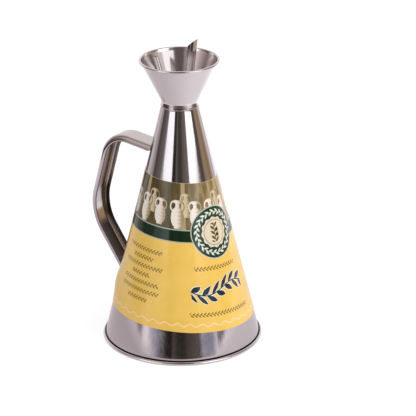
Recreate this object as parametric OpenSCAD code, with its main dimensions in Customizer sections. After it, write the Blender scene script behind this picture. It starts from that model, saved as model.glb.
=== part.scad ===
// Olive oil tin: a steel cone with a funnel top, a bent strap handle, a paper
// label, and a silicone stopper that carries a pouring spout and an air vent.
// Millimetres, +Z up. The origin is the centre of the resting circle, and the
// handle points towards -X, so the tin pours towards +X.

/* [Cone] */
// Outer radius of the cone, carried down to the table
cone_r0 = 53.9; // [50:0.1:58]
// How much the radius shrinks for each millimetre of height
cone_taper = 0.2453; // [0.22:0.0005:0.27]
// Height of the cone's turned top edge
cone_top_z = 168.4; // [160:0.1:176]
// Thickness of the cone's steel sheet
sheet_t = 0.5; // [0.4:0.05:0.7]
// How far the turned top edge stands out
edge_bead_r = 0.5; // [0.3:0.05:0.7]

/* [Base] */
// Outer radius of the rolled bead that the tin stands on
base_r = 55; // [53:0.1:58]
// Radius of the rolled bead's round section
bead_r = 1.4; // [1:0.1:1.8]
// Height of the dished bottom above the table
dish_z = 2; // [1.6:0.1:3]
// Height of the bottom's wall where it is pressed into the cone
dish_wall_z = 4.5; // [4.5:0.5:9]

/* [Funnel] */
// Outer radius of the neck under the funnel
neck_r = 12.7; // [12:0.1:13.5]
// Height where the neck ends and the funnel's flare begins
throat_z = 172.2; // [171:0.1:174]
// Outer radius where the flare meets the straight wall
flare_r = 13.7; // [13.2:0.1:14.5]
// Height where the flare meets the straight wall
flare_z = 174.5; // [174:0.1:176]
// How much the funnel widens for each millimetre of height
funnel_taper = 0.4935; // [0.45:0.0005:0.54]
// Height of the middle of the rolled rim
rim_z = 199.65; // [196:0.05:204]
// Radius of the rolled rim's round section
rim_r = 0.9; // [0.7:0.05:1.2]
// Outer radius of the rolled rim
rim_out_r = 27.2; // [26.5:0.1:28.5]
// Outer radius of the spigot that plugs into the cone
spigot_r = 12; // [11.8:0.05:12.05]
// Height of the spigot's lower end
spigot_z = 158; // [154:0.5:162]

/* [Stopper] */
// Radius of the plug at its widest rib
plug_r = 11.35; // [11:0.05:11.4]
// Height of the plug's lower end
plug_z0 = 151; // [148:0.5:154]
// Radius of the stopper's head in the neck
head_r = 11.95; // [11.7:0.05:12]
// Height of the stopper's top
head_z1 = 174.4; // [173.8:0.1:174.6]
// Radial clearance of each tube in its hole
tube_gap = 0.05; // [0.02:0.01:0.09]
// Radius of the hole that lets drips run back
drip_r = 1.3; // [1:0.1:1.6]
// Distance of the drip hole from the axis
drip_y = 7.6; // [7:0.1:8.2]

/* [Spout] */
// Outer radius of the spout
spout_r = 3.1; // [2.8:0.05:3.3]
// Wall thickness of the spout
spout_wall = 0.5; // [0.4:0.05:0.7]
// Distance of the spout's hole from the axis
spout_x = 6.1; // [5.5:0.1:6.4]
// Height of the spout's lower end
spout_z0 = 147; // [140:0.5:150]
// Angle that the spout leans over
spout_lean = 7.8; // [6:0.1:11]
// Height where the spout starts to bend
spout_bend_z = 175; // [174.8:0.1:178]
// Bend radius along the spout's middle
spout_bend_r = 40; // [25:1:60]
// Height of the spout's tip
tip_z = 216.8; // [212:0.1:222]
// Slope of the slanting cut at the spout's tip
tip_cut = 41.4; // [35:0.1:50]

/* [Vent] */
// Outer radius of the vent tube
vent_r = 1.75; // [1.5:0.05:2]
// Wall thickness of the vent tube
vent_wall = 0.4; // [0.3:0.05:0.5]
// Distance of the vent's hole from the axis
vent_x = 7.6; // [7:0.1:8]
// Height of the vent's lower end
vent_z0 = 118; // [90:1:130]
// Height where the vent starts to bend
vent_bend_z = 174.8; // [174.6:0.1:176]
// Angle of the vent's first bend
vent_bend_out = 43; // [36:0.5:46]
// Angle that the vent's upper end keeps
vent_lean = 20; // [14:0.5:24]
// Radius of the first bend
vent_bend_r1 = 10; // [7:0.5:12]
// Radius of the bend back
vent_bend_r2 = 30; // [20:1:36]
// Length of the straight upper end
vent_end = 7.2; // [4:0.1:9]

/* [Handle] */
// Width of the handle's strap
strap_w = 16; // [13:0.5:18]
// Thickness of the strap's sheet
strap_t = 0.8; // [0.6:0.1:1.2]
// Depth of the strap with its edges turned in
strap_d = 4.9; // [3.5:0.1:6]
// Rounding of the turned edges
strap_round = 3.1; // [1:0.1:3.4]
// Height of the top arm's line at the axis
arm_z = 134.7; // [130:0.1:138]
// Rise of the top arm away from the cone
arm_rise = 7.4; // [3:0.1:10]
// Corner of the arm's and the grip's lines, distance from the axis
corner_x = 56.5; // [54:0.1:60]
// Corner of the grip's and the leg's lines, distance from the axis
knee_x = 74.3; // [70:0.1:77]
// Corner of the grip's and the leg's lines, height
knee_z = 78.4; // [75:0.1:83]
// Outer radius of the bend at the top corner
corner_bend_r = 20.5; // [12:0.5:24]
// Outer radius of the bend at the knee
knee_bend_r = 38; // [24:0.5:44]
// Angle of the lower leg from upright
leg_angle = 34.1; // [30:0.1:38]
// Height of the upper end of the lower welded tab
foot_z = 38.5; // [36:0.1:40]
// Width of the welded tabs
tab_w = 11; // [9:0.5:13]
// Length of the welded tabs
tab_h = 12; // [8:0.5:16]

/* [Label] */
// Thickness of the paper
paper_t = 0.25; // [0.2:0.05:0.4]
// Height of the label's lower edge at the axis
label_z0 = 22.4; // [15:0.1:30]
// Height of the label's upper edge at the axis
label_z1 = 121.1; // [110:0.1:128]
// Slope of the label's edges, because it was put on a little crooked
label_tilt = 4.8; // [0:0.1:6]
// Direction that the label's edges slope down to
label_tilt_dir = 35; // [0:1:90]
// Half of the gap that the label leaves at the handle, in degrees
label_gap = 17; // [14:0.5:24]

/* [Hidden] */
$fn = 96;
cut = 200;
arc_steps = 10;
// A straight run reaches this far into the bend beside it,
lap = 0.1;
// and the bend is this much fatter than the run, so that they join cleanly
hair = 0.04;
taper_angle = atan(cone_taper);
funnel_angle = atan(funnel_taper);
// A sheet seen along the radius is a little thicker than across
sheet_h = sheet_t / cos(taper_angle);
funnel_h = sheet_t / cos(funnel_angle);
bead_mid_r = base_r - bead_r;
bead_mid_z = bead_r - 0.1;
crease_z = bead_mid_z + bead_r;
rim_mid_r = rim_out_r - rim_r;
neck_z = cone_top_z + edge_bead_r;
seat_z = neck_z + 0.4;
steel = "silver";
bright = "gainsboro";

function cone_r(z) = cone_r0 - cone_taper * z;
function funnel_r(z) = flare_r + funnel_taper * (z - flare_z);
// Points round a circle from angle a0 to a1
function arc_pts(x, y, r, a0, a1) =
    [for (i = [0 : arc_steps])
        let (a = a0 + (a1 - a0) * i / arc_steps)
        [x + r * cos(a), y + r * sin(a)]];

// The outer skin of the cone as a solid, grown by g, from z0 to z1
module cone_solid(z0, z1, g = 0) {
    translate([0, 0, z0])
        cylinder(h = z1 - z0, r1 = cone_r(z0) + g, r2 = cone_r(z1) + g);
}

// Dished bottom with an upright wall inside the cone and a rolled bead
// that is flat underneath
module base_plate() {
    wall_x = cone_r(dish_wall_z) - sheet_h;
    skirt_x = bead_mid_r - 1.3;
    // The bottom's middle is pressed down a little
    step_x0 = 36;
    step_x1 = 40;
    low_z = dish_z - 0.6;
    color(steel)
    rotate_extrude() {
        intersection() {
            translate([bead_mid_r, bead_mid_z]) circle(r = bead_r);
            square([base_r + 1, cut]);
        }
        polygon([
            [0, low_z], [step_x0, low_z], [step_x1, dish_z],
            [bead_mid_r - 1, dish_z],
            [skirt_x, crease_z], [wall_x, dish_wall_z],
            [wall_x - sheet_t, dish_wall_z],
            [skirt_x - sheet_t, dish_z + sheet_t],
            [step_x1, dish_z + sheet_t], [step_x0, low_z + sheet_t],
            [0, low_z + sheet_t]]);
    }
}

// Cone of rolled sheet, drawn in a little over the bead, with its top edge
// turned outwards into a thin ring
module body_cone() {
    skirt_r = bead_mid_r - 0.8;
    color(bright)
    rotate_extrude()
        polygon(concat(
            [[skirt_r - sheet_t, crease_z], [skirt_r, crease_z],
             [skirt_r + 0.1, crease_z + 0.5],
             [cone_r(crease_z + 1.5), crease_z + 1.5]],
            [[cone_r(cone_top_z - edge_bead_r), cone_top_z - edge_bead_r]],
            arc_pts(cone_r(cone_top_z), cone_top_z, edge_bead_r, -80, 90),
            [[spigot_r + 0.05, neck_z],
             [spigot_r + 0.05, cone_top_z - edge_bead_r],
             [cone_r(crease_z + 1.5) - sheet_h, crease_z + 1.5],
             [skirt_r - sheet_t + 0.1, crease_z + 0.5]]));
}

// Funnel, neck and spigot spun from one sheet, with a rolled rim
module funnel() {
    wall_z = rim_z - 0.6;
    color(steel)
    rotate_extrude() {
        translate([rim_mid_r, rim_z]) circle(r = rim_r);
        polygon([
            [spigot_r, spigot_z], [spigot_r, neck_z], [neck_r, neck_z],
            [neck_r, throat_z], [neck_r + 0.3, throat_z + 1],
            [flare_r, flare_z], [funnel_r(wall_z), wall_z],
            [funnel_r(rim_z), rim_z], [funnel_r(rim_z) - funnel_h, rim_z],
            [flare_r - funnel_h, flare_z],
            [neck_r + 0.3 - sheet_t - 0.05, throat_z + 1],
            [neck_r - sheet_t - 0.05, throat_z],
            [neck_r - sheet_t - 0.05, seat_z + sheet_t],
            [spigot_r - sheet_t, seat_z],
            [spigot_r - sheet_t, spigot_z]]);
    }
}

// Tapered silicone plug with three sealing ribs and a head in the neck
module stopper() {
    plug_top = seat_z - 0.2;
    rib_pitch = (plug_top - plug_z0) / 4;
    groove = 0.6;
    color("dimgray")
    difference() {
        rotate_extrude()
            polygon(concat(
                [[0, plug_z0], [plug_r - 1.4, plug_z0],
                 [plug_r - groove, plug_z0 + 1]],
                [for (i = [1 : 3], p = [[-1.6, groove], [-0.6, 0],
                                        [0.6, 0], [1.6, groove]])
                    [plug_r - p[1], plug_z0 + i * rib_pitch + p[0]]],
                [[plug_r - 0.1, plug_top - 1],
                 [plug_r - 0.1, seat_z + 0.2],
                 [head_r, seat_z + 0.9], [head_r, throat_z + 0.3],
                 [head_r + 0.75, head_z1 - 0.5],
                 [head_r + 0.5, head_z1], [0, head_z1]]));
        translate([spout_x, 0, plug_z0 - 1])
            cylinder(h = head_z1 - plug_z0 + 2, r = spout_r + tube_gap);
        translate([-vent_x, 0, plug_z0 - 1])
            cylinder(h = head_z1 - plug_z0 + 2, r = vent_r + tube_gap);
        translate([0, -drip_y, plug_z0 - 1])
            cylinder(h = head_z1 - plug_z0 + 2, r = drip_r);
    }
}

// A round bar of radius r in the XZ plane that turns through angle a with
// bend radius br, starting at the origin along +Z and bending towards +X
module bent_bar(r, br, a) {
    translate([br, 0, 0]) rotate([90, 0, 180])
        rotate_extrude(angle = a) translate([br, 0]) circle(r = r);
}

// The spout as a solid bar of radius r, over long by e at each end
module spout_bar(r, e) {
    translate([spout_x, 0, spout_z0 - e])
        cylinder(h = spout_bend_z - spout_z0 + e + lap, r = r);
    translate([spout_x, 0, spout_bend_z])
        bent_bar(r + hair, spout_bend_r, spout_lean);
    translate([spout_x + spout_bend_r * (1 - cos(spout_lean)), 0,
               spout_bend_z + spout_bend_r * sin(spout_lean)])
        rotate([0, spout_lean, 0]) translate([0, 0, -lap])
        cylinder(h = tip_z - spout_bend_z + lap + e, r = r);
}

// Bent tube with a slanting cut that leaves its tip on the pouring side
module pour_spout() {
    rise = tip_z - spout_bend_z - spout_bend_r * sin(spout_lean);
    tip_x = spout_x + spout_bend_r * (1 - cos(spout_lean))
        + rise * tan(spout_lean) + spout_r / cos(spout_lean);
    color(bright)
    difference() {
        spout_bar(spout_r, 0);
        spout_bar(spout_r - spout_wall, 1);
        translate([tip_x, 0, tip_z]) rotate([0, -tip_cut, 0])
            translate([-40, -20, 0]) cube([60, 40, 60]);
    }
}

// The vent as a solid bar of radius r, over long by e at each end
module vent_bar(r, e) {
    x1 = vent_bend_r1 * (1 - cos(vent_bend_out));
    z1 = vent_bend_z + vent_bend_r1 * sin(vent_bend_out);
    x2 = x1 + vent_bend_r2 * (cos(vent_lean) - cos(vent_bend_out));
    z2 = z1 + vent_bend_r2 * (sin(vent_bend_out) - sin(vent_lean));
    mirror([1, 0, 0]) translate([vent_x, 0, 0]) {
        translate([0, 0, vent_z0 - e])
            cylinder(h = vent_bend_z - vent_z0 + e + lap, r = r);
        translate([0, 0, vent_bend_z])
            bent_bar(r + 2 * hair, vent_bend_r1, vent_bend_out);
        translate([x1, 0, z1]) rotate([0, vent_bend_out, 0])
            translate([0, 0, -lap]) mirror([1, 0, 0])
            bent_bar(r + hair, vent_bend_r2, vent_bend_out - vent_lean);
        translate([x2, 0, z2]) rotate([0, vent_lean, 0])
            translate([0, 0, -lap])
            cylinder(h = vent_end + lap + e, r = r);
    }
}

// Thin air tube, bent out towards the funnel's wall on the handle's side
module vent_tube() {
    color(bright)
    difference() {
        vent_bar(vent_r, 0);
        vent_bar(vent_r - vent_wall, 1);
    }
}

// Section of the strap, grown by g: x runs from the turned edges to the
// outer face at 0
module strap_section(g = 0) {
    w = strap_w / 2;
    r_out = strap_round + g;
    r_in = strap_round - strap_t - g;
    polygon(concat(
        [[-strap_d - g, w + g], [-strap_d - g, w - strap_t - g]],
        arc_pts(-strap_round, w - strap_round, r_in, 90, 0),
        arc_pts(-strap_round, strap_round - w, r_in, 0, -90),
        [[-strap_d - g, strap_t + g - w], [-strap_d - g, -w - g]],
        arc_pts(-strap_round, strap_round - w, r_out, -90, 0),
        arc_pts(-strap_round, w - strap_round, r_out, 0, 90)));
}

// Straight run of the strap in the XY plane from p to q, outer face on the left
module strap_run(p, q) {
    d = q - p;
    translate([p[0], p[1], 0]) rotate([0, 0, atan2(d[1], d[0])])
        translate([-lap, 0, 0]) rotate([90, 0, 90])
        linear_extrude(height = norm(d) + 2 * lap) strap_section();
}

// Bend to the right from point p, from heading a0 down to heading a1
module strap_bend(p, r, a0, a1) {
    translate([p[0] + r * sin(a0), p[1] - r * cos(a0), 0])
        rotate([0, 0, a1 + 90]) rotate_extrude(angle = a0 - a1)
        translate([r, 0]) strap_section(hair);
}

// Solid tab on the cone below height z1, where the strap is spot-welded
module weld_tab(z1) {
    intersection() {
        cone_solid(z1 - tab_h, z1, strap_t / cos(taper_angle));
        translate([0, -tab_w / 2, z1 - tab_h]) cube([cut, tab_w, tab_h]);
    }
}

// One strap with its edges turned in, bent to a grip and welded to the cone
module handle() {
    heading = function(a) [cos(a), sin(a)];
    leg = -90 - leg_angle;
    corner = [corner_x, arm_z + corner_x * tan(arm_rise)];
    knee = [knee_x, knee_z];
    grip = atan2(knee[1] - corner[1], knee[0] - corner[0]);
    t1 = corner_bend_r * tan((arm_rise - grip) / 2);
    t2 = knee_bend_r * tan((grip - leg) / 2);
    arm_end = corner - heading(arm_rise) * t1;
    grip_end = knee - heading(grip) * t2;
    // Both ends of the strap start inside the cone, which cuts them off
    start = corner - heading(arm_rise) * corner_x * 0.8;
    end = knee + heading(leg) * (knee_z - foot_z + 10) / cos(leg_angle);
    color(steel)
    rotate([0, 0, 180]) difference() {
        union() {
            rotate([90, 0, 0]) {
                strap_run(start, arm_end);
                strap_bend(arm_end, corner_bend_r, arm_rise, grip);
                strap_run(corner + heading(grip) * t1, grip_end);
                strap_bend(grip_end, knee_bend_r, grip, leg);
                strap_run(knee + heading(leg) * t2, end);
            }
            weld_tab(arm_z + cone_r(arm_z) * tan(arm_rise) - strap_t / 3);
            weld_tab(foot_z);
        }
        cone_solid(0, cone_top_z);
    }
}

// Half space above a plane that slopes like the label's edges
module above_tilted(z) {
    rotate([0, 0, label_tilt_dir]) translate([0, 0, z])
        rotate([0, label_tilt, 0])
        translate([-cut / 2, -cut / 2, 0]) cube([cut, cut, cut]);
}

// Printed paper wrapped round the cone, with its ends beside the handle
module label_sleeve() {
    color("goldenrod")
    difference() {
        cone_solid(10, 140, paper_t);
        cone_solid(9, 141);
        above_tilted(label_z1);
        difference() {
            translate([-cut / 2, -cut / 2, 0]) cube([cut, cut, cut]);
            above_tilted(label_z0);
        }
        linear_extrude(height = cut)
            polygon([[0, 0], [-cut, cut * tan(label_gap)],
                     [-cut, -cut * tan(label_gap)]]);
    }
}

base_plate();
body_cone();
funnel();
handle();
label_sleeve();
stopper();
pour_spout();
vent_tube();
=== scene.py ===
# %% [markdown]
# Olive oil tin with a funnel top
#
# The tin is a cone of mirror-polished stainless steel on a dished base. A spun funnel closes
# the cone, one bent strap makes the handle, and a printed paper label goes round the cone.
# A silicone stopper in the neck carries the pouring spout and a thin air vent.
# Everything here is drawn in millimetres and turned to metres once, where a mesh is made.
# The construction model is the fixed frame: each piece is made at the place where it says.

from math import asin, atan, atan2, cos, degrees, dist, exp, hypot, radians, sin, sqrt, tan, tau

import bmesh
import bpy
from mathutils import Matrix, Vector, noise


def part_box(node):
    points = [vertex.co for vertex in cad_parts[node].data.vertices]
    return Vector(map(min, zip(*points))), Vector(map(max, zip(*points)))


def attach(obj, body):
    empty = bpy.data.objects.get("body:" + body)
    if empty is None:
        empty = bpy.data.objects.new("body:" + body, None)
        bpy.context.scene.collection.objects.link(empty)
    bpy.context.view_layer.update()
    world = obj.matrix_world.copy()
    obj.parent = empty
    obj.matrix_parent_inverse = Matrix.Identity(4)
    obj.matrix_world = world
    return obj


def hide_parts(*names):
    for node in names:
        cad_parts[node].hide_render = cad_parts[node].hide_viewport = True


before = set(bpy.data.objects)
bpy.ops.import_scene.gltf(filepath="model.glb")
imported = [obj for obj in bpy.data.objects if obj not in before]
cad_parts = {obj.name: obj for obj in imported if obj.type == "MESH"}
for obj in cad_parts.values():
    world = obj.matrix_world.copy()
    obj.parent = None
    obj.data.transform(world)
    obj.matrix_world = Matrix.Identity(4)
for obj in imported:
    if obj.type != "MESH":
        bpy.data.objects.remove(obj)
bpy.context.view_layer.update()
MM = 0.001

# %% [markdown]
# Main sizes
#
# The widths and heights come from the frame's own boxes where a box gives them. The rest are
# the sheet thicknesses, slopes and bend radii of the construction model, named once.

# %% Main sizes
def box_in_mm(node):
    """Low and high corner of a construction node's box."""
    return [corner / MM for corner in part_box(node)]


_, base_high = box_in_mm("base_plate")
_, funnel_high = box_in_mm("funnel")
spout_low, spout_high = box_in_mm("pour_spout")
vent_low, _ = box_in_mm("vent_tube")

SHEET = 0.5
CONE_R0 = 53.9
CONE_TAPER = 0.2453
CONE_TOP = 168.4
RING_R = 0.5
SPIGOT_R = 12.0
BEAD_R = 1.4
DISH_WALL_Z = 4.5
BEAD_MID_R = base_high.x - BEAD_R
BEAD_MID_Z = BEAD_R - 0.1
CREASE_Z = BEAD_MID_Z + BEAD_R
SKIRT_R = BEAD_MID_R - 0.75
PHOTO_SIDE = radians(-55)


def cone_radius(z):
    """Outer radius of the cone's sheet at height z."""
    return CONE_R0 - CONE_TAPER * z


print("bead radius", round(base_high.x, 1), "rim radius", round(funnel_high.x, 1))

# %% [markdown]
# Meshes from rings
#
# Rolled, spun and bent sheet all have a section that is carried along a path. So one helper
# is enough: it joins closed rings of points, one after the other. A turned piece is a ring
# carried round the axis, and a tube or a strap is a ring carried along its middle line.

# %% A skin over rings
def skin(name, rings, closed=True, crease=40, finishes=None):
    """Joins rings of points in millimetres into one mesh. A closed skin comes back to its first
    ring. finishes gives the material slot of the strip that starts at each point of a ring."""
    mesh = bpy.data.meshes.new(name)
    bm = bmesh.new()
    grid = [[bm.verts.new(Vector(p) * MM) for p in ring] for ring in rings]
    pairs = list(zip(grid, grid[1:])) + ([(grid[-1], grid[0])] if closed else [])
    for first, second in pairs:
        for i in range(len(first)):
            k = (i + 1) % len(first)
            face = bm.faces.new((first[i], first[k], second[k], second[i]))
            face.material_index = finishes[i] if finishes else 0
    if not closed:
        for end in (grid[0], grid[-1]):
            bm.faces.new(end).material_index = max(finishes) if finishes else 0
    bmesh.ops.remove_doubles(bm, verts=bm.verts, dist=1e-6)
    bmesh.ops.dissolve_degenerate(bm, edges=bm.edges, dist=1e-7)
    bmesh.ops.recalc_face_normals(bm, faces=bm.faces)
    bm.to_mesh(mesh)
    bm.free()
    mesh.shade_smooth()
    mesh.set_sharp_from_angle(angle=radians(crease))
    piece = bpy.data.objects.new(name, mesh)
    bpy.context.scene.collection.objects.link(piece)
    return piece


def arc(x, y, radius, start, end, steps=8):
    """Points round a circle, from angle start to angle end in degrees."""
    angles = [radians(start + (end - start) * i / steps) for i in range(steps + 1)]
    return [(x + radius * cos(a), y + radius * sin(a)) for a in angles]


def turned(name, outline, steps=256, ripple=0.0):
    """Carries a closed outline of (radius, height) round the axis, with a faint ripple of the sheet."""
    rings = []
    for i in range(steps):
        c, s = cos(tau * i / steps), sin(tau * i / steps)
        ring = []
        for r, z in outline:
            wave = ripple * noise.noise(Vector((c * r, s * r, z * 0.5)) / 26)
            ring.append((c * (r + wave), s * (r + wave), z))
        rings.append(ring)
    return skin(name, rings)


# %% [markdown]
# Paths with bends
#
# The strap and both tubes are bent in one upright plane. A path is told as a walk: a straight
# run has a length, and a bend has a radius and the angle that it turns to the left. Each
# station of the walk keeps its heading, so that the section can stand square to it.

# %% Walk along runs and bends
def walk(x, z, heading, moves, step=4.0):
    """Stations (x, z, heading) in the XZ plane. A move is (length, 0) or (bend radius, angle)."""
    stations = [(x, z, heading)]
    for size, turn in moves:
        count = max(1, round(abs(turn) / 3) if turn else round(size / step))
        for _ in range(count):
            x, z, heading = stations[-1]
            middle = radians(heading + turn / count / 2)
            angle = radians(abs(turn) / count)
            stride = 2 * size * sin(angle / 2) if turn else size / count
            stations.append((x + stride * cos(middle), z + stride * sin(middle),
                             heading + turn / count))
    return stations


def ring_at(station, section):
    """The section's points (left of the path, along Y) as a ring in space."""
    x, z, heading = station
    h = radians(heading)
    return [(x - left * sin(h), side, z + left * cos(h)) for left, side in section]


def tube(name, stations, radius, wall, cut=None, around=48):
    """A hollow tube with open ends. cut moves the last ring onto a slanting plane."""
    outer, inner = ([ring_at(s, arc(0, 0, r, 0, 360 - 360 / around, around - 1)) for s in stations]
                    for r in (radius, radius - wall))
    if cut:
        outer[-1], inner[-1] = cut(outer[-1]), cut(inner[-1])
    return skin(name, outer + inner[::-1])


# %% [markdown]
# One helper for shader nodes
#
# Colours are written as sRGB hex values, as a paint chart gives them, and one function turns
# them to the linear values that the shader works with. One small function adds a node: plain
# arguments fill its sockets in order, and named ones are sockets or settings.

# %% Colours and nodes
def linear(hex_colour):
    """Turns an sRGB hex colour to linear red, green, blue and alpha."""
    parts = [int(hex_colour[i:i + 2], 16) / 255 for i in (1, 3, 5)]
    return [c / 12.92 if c <= 0.04045 else ((c + 0.055) / 1.055) ** 2.4 for c in parts] + [1.0]


def add(tree, kind, *inputs, **settings):
    """Adds one shader node. A node given as an input stands for its first output."""
    node = tree.nodes.new("ShaderNode" + kind)
    sockets = {}
    for key, value in settings.items():
        if hasattr(node, key):
            setattr(node, key, value)
        else:
            sockets[key.replace("_", " ")] = value
    shown = [s for s in node.inputs if s.enabled]
    pairs = list(zip(shown, inputs)) + [(s, sockets[s.name]) for s in shown if s.name in sockets]
    for socket, value in pairs:
        if isinstance(value, bpy.types.Node):
            value = value.outputs[0]
        if isinstance(value, bpy.types.NodeSocket):
            tree.links.new(value, socket)
        elif value is not None:
            socket.default_value = linear(value) if isinstance(value, str) else value
    return node


def new_material(name):
    """An empty node material and its node tree."""
    material = bpy.data.materials.new(name)
    material.use_nodes = True
    material.node_tree.nodes.clear()
    return material, material.node_tree


def stepped(tree, value, low, high):
    """0 below low and 1 above high, with a soft step between."""
    return add(tree, "MapRange", value, low, high, 0.0, 1.0, interpolation_type="SMOOTHSTEP")


def colour_ramp(tree, value, stops, low, high):
    """Colours over a value between low and high, from stops of (value, colour)."""
    ramp = add(tree, "ValToRGB", add(tree, "MapRange", value, low, high, 0.0, 1.0))
    ramp.color_ramp.elements[0].color = linear(stops[0][1])
    ramp.color_ramp.elements[1].color = linear(stops[-1][1])
    for at, colour in stops:
        ramp.color_ramp.elements.new((at - low) / (high - low)).color = linear(colour)
    return ramp


# %% [markdown]
# Stainless steel, mirror polished
#
# The tin is bright stainless sheet: rolled, then polished with a wheel until it mirrors the
# room. What gives it away as sheet metal is not its colour but its reflections: they are a
# little soft, they waver where the sheet isn't quite flat, and the wheel leaves hair lines
# along the direction of polishing. So the material is a plain metal with a fine bump in
# which the noise is stretched along the lines, and a roughness that varies a little. Inside
# the strap and in the crease the steel looks darker in the photo; those places have darker
# finishes of their own, matched to it, which are painted shade. The spout's steel is also
# darker towards its tip, matched to the photo; why it is darker can't be seen.

# %% Polished steel
RAMP_TOP = 0.25


def polished_steel(name, colour, stretch, roughness, line_depth=0.00012, smear=0.0):
    """Bright steel. stretch is the size in mm of the polishing lines along X, Y and Z. The
    colour may be a list of (height in mm, colour) where it changes up the tin."""
    material, tree = new_material(name)
    place = add(tree, "TexCoord").outputs["Object"]
    if isinstance(colour, list):
        height = add(tree, "SeparateXYZ", place).outputs["Z"]
        colour = colour_ramp(tree, height, [(z * MM, tone) for z, tone in colour], 0.0, RAMP_TOP)
    lines = add(tree, "Mapping", place, Scale=[1 / (s * MM) for s in stretch])
    grain = add(tree, "TexNoise", lines, Scale=1.0, Detail=3.0, Roughness=0.6)
    cloud = add(tree, "TexNoise", place, Scale=1 / (22 * MM), Detail=2.0)
    spread = add(tree, "MapRange", cloud, 0.35, 0.7, roughness * 0.8, roughness * 1.35)
    hair = add(tree, "MapRange", grain, 0.3, 0.7, -smear, smear)
    rough = add(tree, "Math", spread, hair, operation="ADD")
    bump = add(tree, "Bump", Strength=1.0, Distance=line_depth * MM, Height=grain)
    shader = add(tree, "BsdfPrincipled", Base_Color=colour, Metallic=1.0, Roughness=rough,
                 Normal=bump)
    add(tree, "OutputMaterial", shader)
    return material


cone_steel = polished_steel("stainless_mirror_polished", "#C0B9BB", (0.9, 0.9, 60), 0.075,
                            line_depth=0.0012, smear=0.03)
spun_steel = polished_steel("stainless_spun_polished", "#DAD5D6", (12, 12, 0.5), 0.14,
                            line_depth=0.0008, smear=0.03)
strap_steel = polished_steel("stainless_strap_polished", "#C6BFBE", (6, 0.3, 6), 0.1,
                             line_depth=0.0008, smear=0.02)
# Inside the strap's channel and on the inner roundings of its edges the steel is darkened by height:
# painted shade.
INSIDE_SHADE_TONES = [(66, "#6B625E"), (72, "#C6BFBE"), (90, "#C6BFBE"), (98, "#857B77")]
BEND_SHADE_TONES = [(66, "#BDB5B2"), (74, "#6B625E"), (92, "#6B625E"), (98, "#B3ABA7")]
strap_inside_shaded = polished_steel("stainless_strap_inside_painted_shade", INSIDE_SHADE_TONES, (6, 0.3, 6), 0.16,
                              line_depth=0.0015, smear=0.05)
strap_bend_shaded = polished_steel("stainless_strap_bend_painted_shade", BEND_SHADE_TONES, (6, 0.3, 6), 0.16,
                            line_depth=0.0015, smear=0.05)
sheared_edge = polished_steel("stainless_sheared_edge", "#6A605C", (0.4, 0.4, 0.4), 0.3,
                              line_depth=0.004, smear=0.1)
# Dark, rough steel for the crease above the bead: its darkness is painted shade.
crease_painted_shade = polished_steel("stainless_crease_painted_shade", "#3B3331", (8, 8, 0.4), 0.36,
                              line_depth=0.002, smear=0.08)
# The spout's steel turns darker towards its tip.
spout_steel = polished_steel("stainless_tube_darker_tip", [(203, "#CBC6C6"), (208, "#8C827C")],
                             (0.3, 0.3, 12), 0.09, line_depth=0.0005, smear=0.015)
tube_steel = polished_steel("stainless_tube_drawn", "#CBC6C6", (0.3, 0.3, 12), 0.09,
                            line_depth=0.0005, smear=0.015)
print("steel finishes:", [m.name for m in (cone_steel, spun_steel, strap_steel, tube_steel)])

# %% [markdown]
# The base
#
# The bottom is a pressed dish. Its edge is rolled together with the cone's lower edge into a
# round bead, which stiffens the tin and is what it stands on. The bead and the crease above it
# are modelled, and the bead's bright line comes from its round shape. The dark of the crease
# is painted shade: its faces get a darker finish.

# %% Base with its rolled bead
def base_outline():
    """Section of the dished bottom and its bead, flat where it stands on the table."""
    wall_x = cone_radius(DISH_WALL_Z) - SHEET - 0.1
    foot = degrees(asin(BEAD_MID_Z / BEAD_R))
    dish = [(0, 1.4), (36, 1.4), (38, 1.62), (40, 2.0), (BEAD_MID_R - 1.6, 2.0)]
    bead = ([(BEAD_MID_R - 1.25, 0.9)]
            + arc(BEAD_MID_R, BEAD_MID_Z, BEAD_R, 180 + foot, 360 - foot, 1)
            + arc(BEAD_MID_R, BEAD_MID_Z, BEAD_R, -foot + 6, 96, 20))
    wall = [(BEAD_MID_R - 0.95, CREASE_Z - 0.15), (BEAD_MID_R - 1.35, CREASE_Z),
            (wall_x, DISH_WALL_Z), (wall_x - SHEET, DISH_WALL_Z), (BEAD_MID_R - 1.85, 2.5)]
    return dish + bead + wall + [(40, 2.5), (38, 2.12), (36, 1.9), (0, 1.9)]


CREASE_REACH, CREASE_LOW, CREASE_HIGH = 0.4, -0.13, 0.75


def shade_crease(piece):
    """Gives the dark finish, a painted shade, to the faces in the crease between the bead and the cone.
    """
    piece.data.materials.append(crease_painted_shade)
    for face in piece.data.polygons:
        height = face.center.z / MM - CREASE_Z
        far = hypot(face.center.x, face.center.y) / MM - BEAD_MID_R
        in_crease = far < CREASE_REACH and CREASE_LOW < height < CREASE_HIGH
        face.material_index = 1 if in_crease else 0


base_dish = turned("base_dish", base_outline())
base_dish.data.materials.append(spun_steel)
shade_crease(base_dish)
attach(base_dish, "can")
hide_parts("base_plate")
print("base_dish", len(base_dish.data.polygons), "faces")

# %% [markdown]
# The cone
#
# The cone is one blank of sheet, rolled up and butt-welded, and drawn in a little where it
# meets the bead. Its top edge is turned out into a thin ring under the funnel. The sheet has
# a ripple of a few hundredths of a millimetre, which is enough to make its reflections waver.

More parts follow.
